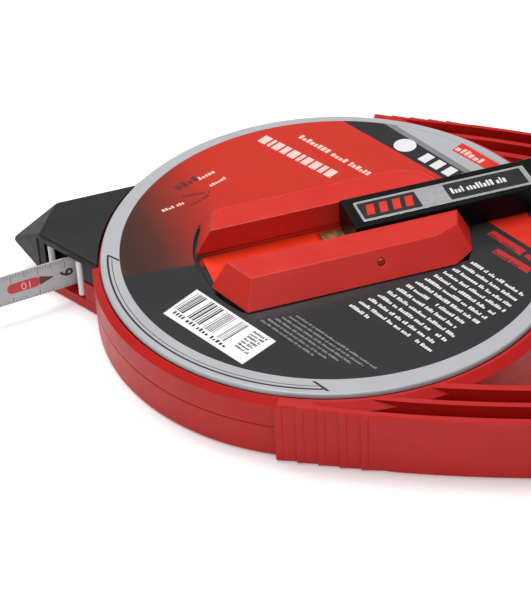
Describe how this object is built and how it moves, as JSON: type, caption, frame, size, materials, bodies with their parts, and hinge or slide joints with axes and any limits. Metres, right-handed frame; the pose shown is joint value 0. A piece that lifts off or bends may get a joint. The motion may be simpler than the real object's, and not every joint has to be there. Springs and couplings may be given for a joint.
{
  "type": "surveying tape measure",
  "caption": "Closed-case long tape measure with round drum, D-shaped grip, pointed nose with a side mouth, tape end ring and folding crank on a turning side disc.",
  "frame": {"origin": "point on the reel axis at the flat underside of the case", "axes": "+Z along the reel axis, out of the face with the crank; +X from the reel axis along the case towards the grip; the nose points to -X"},
  "size_m": [0.3167, 0.171, 0.0575],
  "materials": {
    "case_red": "satin moulded ABS",
    "nose_black": "fine satin",
    "guide_white": "smooth",
    "steel": "zinc plated",
    "reel_red": "moulded",
    "reel_black": "moulded",
    "tape_grey": "coated glass fibre with printed scale",
    "hub_print": "printed film on plastic",
    "disc_silver": "silver rim, satin",
    "label_print": null,
    "brass": "leaf",
    "cheek_red": "smooth",
    "pin_metal": "plain",
    "arm_black": "smooth",
    "inlay_silver": null,
    "knob_black": "fine grip texture",
    "clip_steel": "nickel plated"
  },
  "bodies": {
    "case": {"lower_shell": "case_red", "upper_shell": "case_red", "nose_cap": "nose_black", "guide_post_front": "guide_white", "guide_post_rear": "guide_white", "axle": "steel", "thrust_washer": "guide_white", "case_screw_1": "steel", "case_screw_2": "steel", "case_screw_3": "steel", "case_screw_4": "steel", "case_screw_5": "steel", "case_screw_6": "steel", "case_screw_7": "steel"},
    "reel": {"reel_core": "reel_red", "reel_flange_lower": "reel_red", "reel_flange_upper": "reel_black", "tape_pack": "tape_grey", "hub_block": "hub_print", "side_disc": "disc_silver", "face_label": "label_print", "detent_spring": "brass", "cheek_near": "cheek_red", "cheek_far": "cheek_red", "crank_pin": "pin_metal"},
    "crank": {"crank_arm": "arm_black", "arm_inlay": "inlay_silver", "knob_spindle": "steel"},
    "knob": {"knob": "knob_black", "knob_cap": "cheek_red"},
    "tape": {"tape_blade": "tape_grey", "end_clip": "clip_steel", "clip_rivet_1": "steel", "clip_rivet_2": "steel"},
    "ring": {"end_ring": "clip_steel"}
  },
  "joints": [
    {"name": "reel_spin", "type": "hinge", "parent": "case", "child": "reel", "pos_m": [0, 0, 0.0125], "axis": [0, 0, 1], "continuous": true},
    {"name": "crank_fold", "type": "hinge", "parent": "reel", "child": "crank", "pos_m": [0.00823, 0.00494, 0.0305], "axis": [0.515, -0.8572, 0], "range_deg": [0, 161]},
    {"name": "knob_spin", "type": "hinge", "parent": "crank", "child": "knob", "pos_m": [0.07543, 0.04532, 0.045], "axis": [0, 0, 1], "continuous": true},
    {"name": "tape_pull", "type": "slide", "parent": "case", "child": "tape", "axis": [-0.7848, -0.6198, 0], "range_m": [0, 0.03]},
    {"name": "ring_swing", "type": "hinge", "parent": "tape", "child": "ring", "pos_m": [-0.15236, -0.06415, 0.0125], "axis": [0, 0, 1], "range_deg": [-100, 100]}
  ]
}
